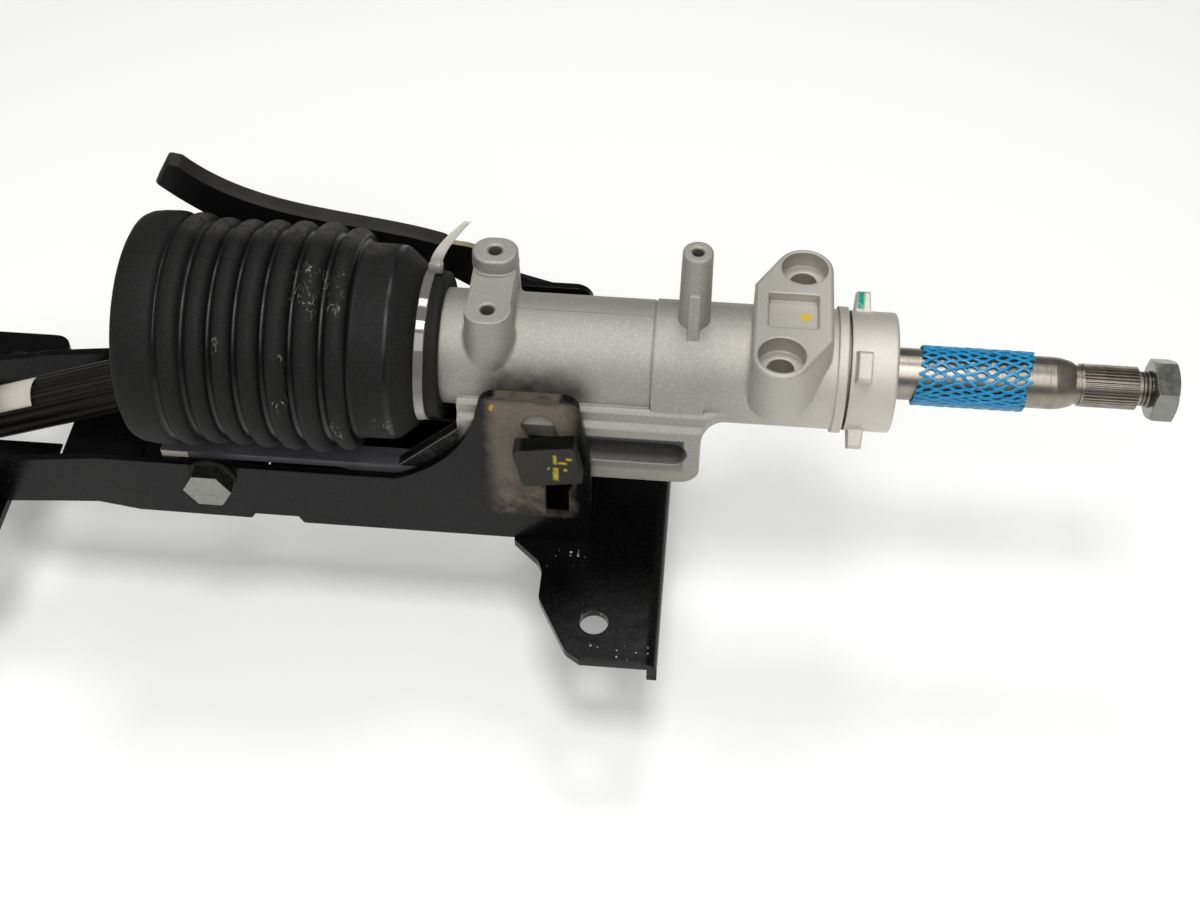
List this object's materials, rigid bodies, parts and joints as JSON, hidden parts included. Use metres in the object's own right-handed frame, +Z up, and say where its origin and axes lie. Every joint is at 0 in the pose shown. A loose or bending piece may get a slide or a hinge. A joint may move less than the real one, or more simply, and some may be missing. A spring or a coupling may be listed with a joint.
{
  "type": "steering column",
  "caption": "Tilting and telescoping vehicle steering column: die-cast housing on a slotted steel bracket, rubber bellows, jointed intermediate shaft and splined wheel shaft.",
  "frame": {"origin": "column axis at the inboard end of the wheel serration", "axes": "+X along the column axis towards the steering wheel, +Z up and away from the mounting plate, so the mounting faces look down and the clamp lever lies on the +Y side"},
  "size_m": [0.6056, 0.176, 0.2095],
  "materials": {
    "black_paint": "gloss black cathodic dip paint on pressed steel",
    "zinc_plate": "bright zinc plate",
    "bright_steel": "turned steel",
    "acetal": "natural moulded acetal",
    "phosphated_steel": "dark phosphated steel",
    "yellow_zinc": "pale yellow passivated zinc",
    "grip_plastic": "black moulded nylon",
    "cast_aluminium": "blasted die-cast aluminium",
    "rail_steel": "blue-black oiled steel",
    "rubber": "matte moulded rubber",
    "nylon": "natural nylon",
    "blue_mesh": "blue polyethylene mesh",
    "shaft_coating": "black nylon coating"
  },
  "bodies": {
    "bracket": {"bracket_channel": "black_paint", "mounting_plate": "black_paint", "lower_feet": "black_paint", "pivot_bolt": "zinc_plate", "pivot_washers": "zinc_plate", "pivot_nut": "zinc_plate"},
    "tilt_carrier": {"pivot_sleeve": "bright_steel", "slide_blocks": "acetal", "clamp_bolt": "phosphated_steel", "guide_sleeve": "bright_steel", "fixed_cam": "phosphated_steel", "clamp_washer": "zinc_plate", "clamp_nut": "zinc_plate"},
    "clamp_lever": {"lever_plate": "yellow_zinc", "lever_grip": "grip_plastic", "moving_cam": "yellow_zinc"},
    "jacket": {"housing": "cast_aluminium", "switch_ring": "cast_aluminium", "slide_rails": "rail_steel", "rail_screws": "zinc_plate", "bellows": "rubber", "cable_tie": "nylon", "bearing_outer_rings": "bright_steel", "bearing_balls": "bright_steel", "front_circlip": "phosphated_steel"},
    "column_shaft": {"steering_shaft": "bright_steel", "wheel_nut": "zinc_plate", "mesh_sleeve": "blue_mesh", "upper_yoke": "phosphated_steel", "upper_yoke_cups": "bright_steel", "bearing_inner_rings": "bright_steel"},
    "intermediate": {"intermediate_yoke": "phosphated_steel", "intermediate_cups": "bright_steel", "upper_cross": "phosphated_steel", "intermediate_tube": "shaft_coating"},
    "sliding_shaft": {"inner_shaft": "phosphated_steel", "inner_shaft_cups": "bright_steel"},
    "lower_joint_cross": {"lower_cross": "phosphated_steel"},
    "gear_yoke": {"clamp_yoke": "phosphated_steel", "clamp_yoke_cups": "bright_steel", "pinch_bolt": "zinc_plate"}
  },
  "joints": [
    {"name": "tilt", "type": "hinge", "parent": "bracket", "child": "tilt_carrier", "pos_m": [-0.3383, 0, -0.053], "axis": [0, -1, 0], "range_deg": [-7.5, 6.5]},
    {"name": "clamp_release", "type": "hinge", "parent": "tilt_carrier", "child": "clamp_lever", "pos_m": [-0.2003, 0, -0.025], "axis": [0, 1, 0], "range_deg": [0, 65]},
    {"name": "telescope", "type": "slide", "parent": "tilt_carrier", "child": "jacket", "axis": [1, 0, 0], "range_m": [-0.045, 0.005]},
    {"name": "shaft_spin", "type": "hinge", "parent": "jacket", "child": "column_shaft", "pos_m": [0, 0, 0], "axis": [1, 0, 0], "continuous": true},
    {"name": "intermediate_spin", "type": "hinge", "parent": "jacket", "child": "intermediate", "pos_m": [-0.2883, 0, 0], "axis": [0.9317, 0, 0.3633], "continuous": true},
    {"name": "shaft_slide", "type": "slide", "parent": "intermediate", "child": "sliding_shaft", "axis": [-0.9317, 0, -0.3633], "range_m": [-0.025, 0.025]},
    {"name": "lower_swing", "type": "hinge", "parent": "sliding_shaft", "child": "lower_joint_cross", "pos_m": [-0.51191, 0, -0.08718], "axis": [0, 1, 0], "range_deg": [0, 48]},
    {"name": "lower_sway", "type": "hinge", "parent": "lower_joint_cross", "child": "gear_yoke", "pos_m": [-0.51191, 0, -0.08718], "axis": [0.7193, 0, -0.6947], "range_deg": [-15, 15]}
  ],
  "couplings": [
    {"joint": "intermediate_spin", "follows": "shaft_spin", "ratio": 1}
  ]
}
